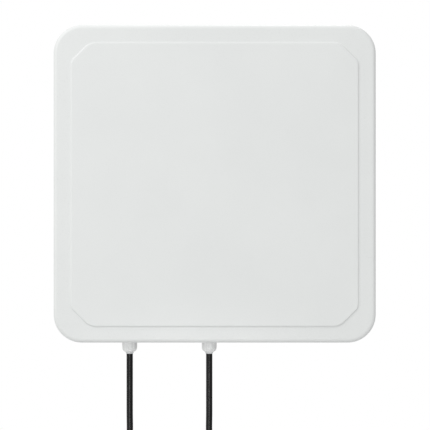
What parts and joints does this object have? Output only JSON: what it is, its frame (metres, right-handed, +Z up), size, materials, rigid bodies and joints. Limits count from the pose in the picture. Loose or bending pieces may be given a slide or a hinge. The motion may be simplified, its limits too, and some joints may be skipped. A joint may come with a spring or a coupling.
{
  "type": "security gate antenna panel",
  "caption": "Flat square antenna panel of a security gate, with rounded corners and a low raised field, on a tilting wall bracket, with power and data leads from glands in its lower edge.",
  "frame": {"origin": "centre of the wall bracket's rear face, which lies on the wall", "axes": "+Z up, +Y into the wall, +X to the right as seen from the front; the panel's front faces -Y"},
  "size_m": [0.445, 0.1485, 0.8009],
  "materials": {
    "cover_plastic": "off-white moulded, fine satin grain",
    "housing_plastic": "pale grey moulded, fine matt grain",
    "gland_nylon": "near-white moulded nylon, satin",
    "grey_rubber": "pale grey, matt",
    "gasket_rubber": "black, matt",
    "lead_sheath": "black, smooth satin sheath",
    "tie_nylon": "black, ribbed strap",
    "plug_plastic": "black, fine grain",
    "antenna_aluminium": "bare sheet",
    "spacer_nylon": "natural nylon",
    "circuit_board": "green solder mask",
    "shield_tin": "tinned sheet",
    "terminal_plastic": "green moulded",
    "bracket_paint": "mid grey powder coat",
    "zinc_steel": "zinc plated"
  },
  "bodies": {
    "wall_mount": {"wall_bracket": "bracket_paint", "pivot_rivet_left": "zinc_steel", "pivot_rivet_right": "zinc_steel"},
    "panel": {"panel_bracket": "bracket_paint", "lock_bolt_left": "zinc_steel", "lock_bolt_right": "zinc_steel", "lock_nut_left": "zinc_steel", "lock_nut_right": "zinc_steel", "bracket_bolt_1": "zinc_steel", "bracket_bolt_2": "zinc_steel", "bracket_bolt_3": "zinc_steel", "bracket_bolt_4": "zinc_steel", "front_radome": "cover_plastic", "perimeter_gasket": "gasket_rubber", "rear_housing": "housing_plastic", "vent_plug": "spacer_nylon", "cover_screw_1": "zinc_steel", "cover_screw_2": "zinc_steel", "cover_screw_3": "zinc_steel", "cover_screw_4": "zinc_steel", "cover_screw_5": "zinc_steel", "cover_screw_6": "zinc_steel", "cover_screw_7": "zinc_steel", "cover_screw_8": "zinc_steel", "ground_plane": "antenna_aluminium", "patch_radiator_1": "antenna_aluminium", "patch_radiator_2": "antenna_aluminium", "patch_radiator_3": "antenna_aluminium", "patch_radiator_4": "antenna_aluminium", "patch_post_1": "spacer_nylon", "patch_post_2": "spacer_nylon", "patch_post_3": "spacer_nylon", "patch_post_4": "spacer_nylon", "feed_board": "circuit_board", "reader_board": "circuit_board", "rf_shield": "shield_tin", "terminal_block": "terminal_plastic", "data_socket": "shield_tin", "antenna_jumper": "lead_sheath", "power_gland_body": "gland_nylon", "power_gland_cap": "gland_nylon", "power_gland_seal": "grey_rubber", "power_gland_locknut": "gland_nylon", "power_lead_inner": "lead_sheath", "data_gland_body": "gland_nylon", "data_gland_cap": "gland_nylon", "data_gland_seal": "grey_rubber", "data_gland_locknut": "gland_nylon", "data_lead_inner": "lead_sheath"},
    "power_cord": {"power_lead": "lead_sheath", "power_lead_coil": "lead_sheath", "power_lead_tie": "tie_nylon", "power_lead_tail": "lead_sheath", "power_plug": "plug_plastic"},
    "data_cord": {"data_lead": "lead_sheath", "data_lead_coil": "lead_sheath", "data_lead_tie": "tie_nylon", "data_lead_tail": "lead_sheath", "data_plug": "plug_plastic"}
  },
  "joints": [
    {"name": "tilt", "type": "hinge", "parent": "wall_mount", "child": "panel", "pos_m": [0, -0.055, 0], "axis": [1, 0, 0], "range_deg": [-20, 20]},
    {"name": "power_cord_hang", "type": "hinge", "parent": "panel", "child": "power_cord", "pos_m": [-0.1204, -0.104, -0.239], "axis": [1, 0, 0], "range_deg": [-20, 20]},
    {"name": "data_cord_hang", "type": "hinge", "parent": "panel", "child": "data_cord", "pos_m": [-0.0078, -0.104, -0.239], "axis": [1, 0, 0], "range_deg": [-20, 20]}
  ],
  "couplings": [
    {"joint": "power_cord_hang", "follows": "tilt", "ratio": -1},
    {"joint": "data_cord_hang", "follows": "tilt", "ratio": -1}
  ]
}
